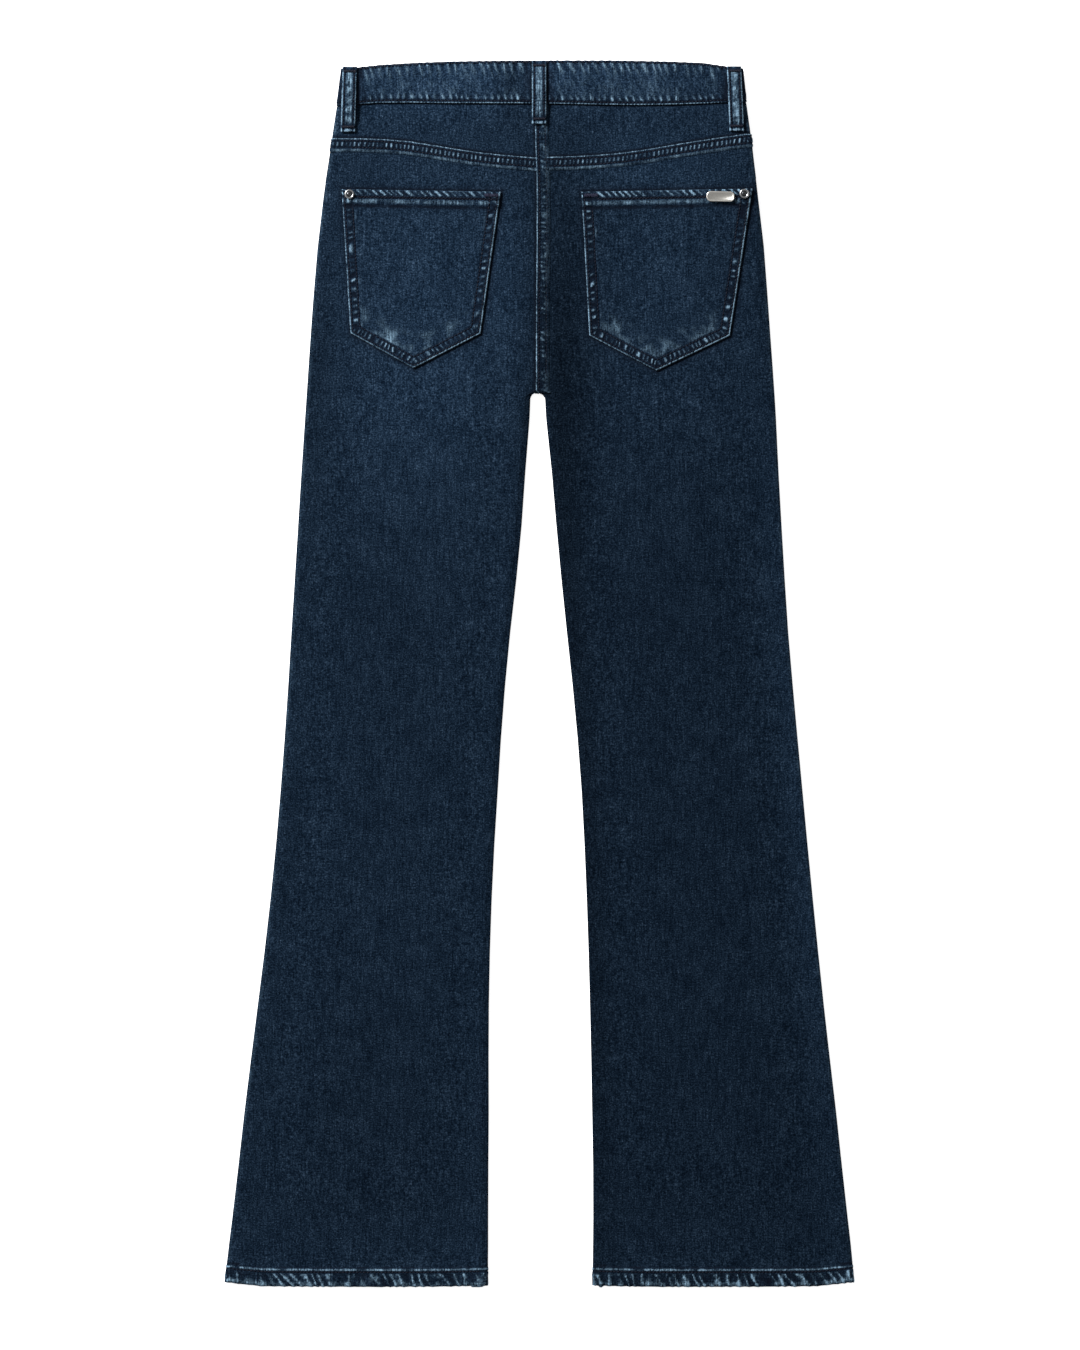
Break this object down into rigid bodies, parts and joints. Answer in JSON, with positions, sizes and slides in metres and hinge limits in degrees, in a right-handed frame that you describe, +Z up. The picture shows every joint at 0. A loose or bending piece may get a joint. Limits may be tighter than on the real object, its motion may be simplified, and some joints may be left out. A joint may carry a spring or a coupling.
{
  "type": "flared jeans",
  "caption": "Dark indigo stretch denim jeans with flared legs, laid flat with the back facing up; yoke, patch pockets, waistband with belt loops and a fly.",
  "frame": {"origin": "centre of the laid-out garment's outline, on the surface that it lies on", "axes": "+Z up from the surface, +Y from the hems to the waist, +X to the wearer's right; the back of the jeans faces +Z"},
  "size_m": [0.5781, 1.1267, 0.011],
  "materials": {
    "denim": "woven indigo twill with worn seam edges",
    "metal_trim": "dull antique nickel",
    "badge_metal": "satin pale metal"
  },
  "bodies": {
    "root": {"back_leg_left": "denim", "back_leg_right": "denim", "back_yoke_left": "denim", "back_yoke_right": "denim", "front_leg_left": "denim", "front_leg_right": "denim", "front_pocket_facing_left": "denim", "front_pocket_facing_right": "denim", "waistband_front_left": "denim", "waistband_front_right": "denim", "waistband_back": "denim", "back_pocket_left": "denim", "back_pocket_right": "denim", "belt_loop_centre_back": "denim", "belt_loop_back_left": "denim", "belt_loop_back_right": "denim", "belt_loop_front_left": "denim", "belt_loop_front_right": "denim", "fly": "denim", "pocket_rivet_left": "metal_trim", "pocket_rivet_right": "metal_trim", "waist_button": "metal_trim", "pocket_badge": "badge_metal"}
  },
  "joints": []
}
